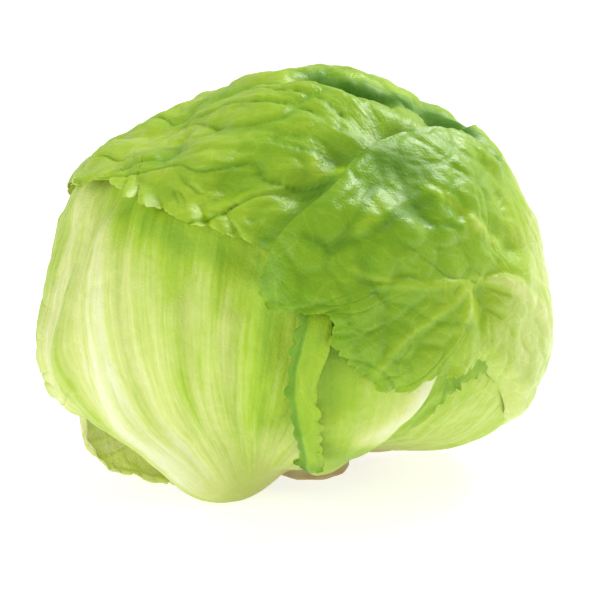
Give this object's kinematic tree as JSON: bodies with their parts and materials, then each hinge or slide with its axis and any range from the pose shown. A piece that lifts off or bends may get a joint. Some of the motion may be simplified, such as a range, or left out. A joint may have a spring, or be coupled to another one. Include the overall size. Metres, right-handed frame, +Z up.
{
  "type": "iceberg lettuce",
  "caption": "Dense round head of iceberg lettuce: pale ribbed wrapper leaves and toothed green crown leaves folded over a tight heart, on a short cut stem.",
  "frame": {"origin": "middle of the stem's cut face, on the surface that the head stands on", "axes": "+Z up through the crown, -Y towards the front, where the pale wrapper leaf and the toothed leaf margins show, +X to the right seen from the front"},
  "size_m": [0.1648, 0.1633, 0.1296],
  "materials": {
    "stem": "matt cut stem, slightly browned",
    "heart": "satin, pale yellow-green, tightly folded leaves with air between",
    "pale_leaf": "waxy satin, cream at the rib to light green",
    "light_leaf": "waxy satin, light green",
    "green_leaf": "waxy satin, fresh green with pale veins"
  },
  "bodies": {
    "root": {"stem": "stem", "heart": "heart", "back_leaf": "green_leaf", "back_right_leaf": "light_leaf", "back_left_leaf": "light_leaf", "left_leaf": "light_leaf", "right_leaf": "light_leaf", "inner_front_leaf": "green_leaf", "front_left_leaf": "pale_leaf", "front_leaf": "pale_leaf", "crown_leaf": "green_leaf", "right_crown_leaf": "green_leaf"}
  },
  "joints": []
}
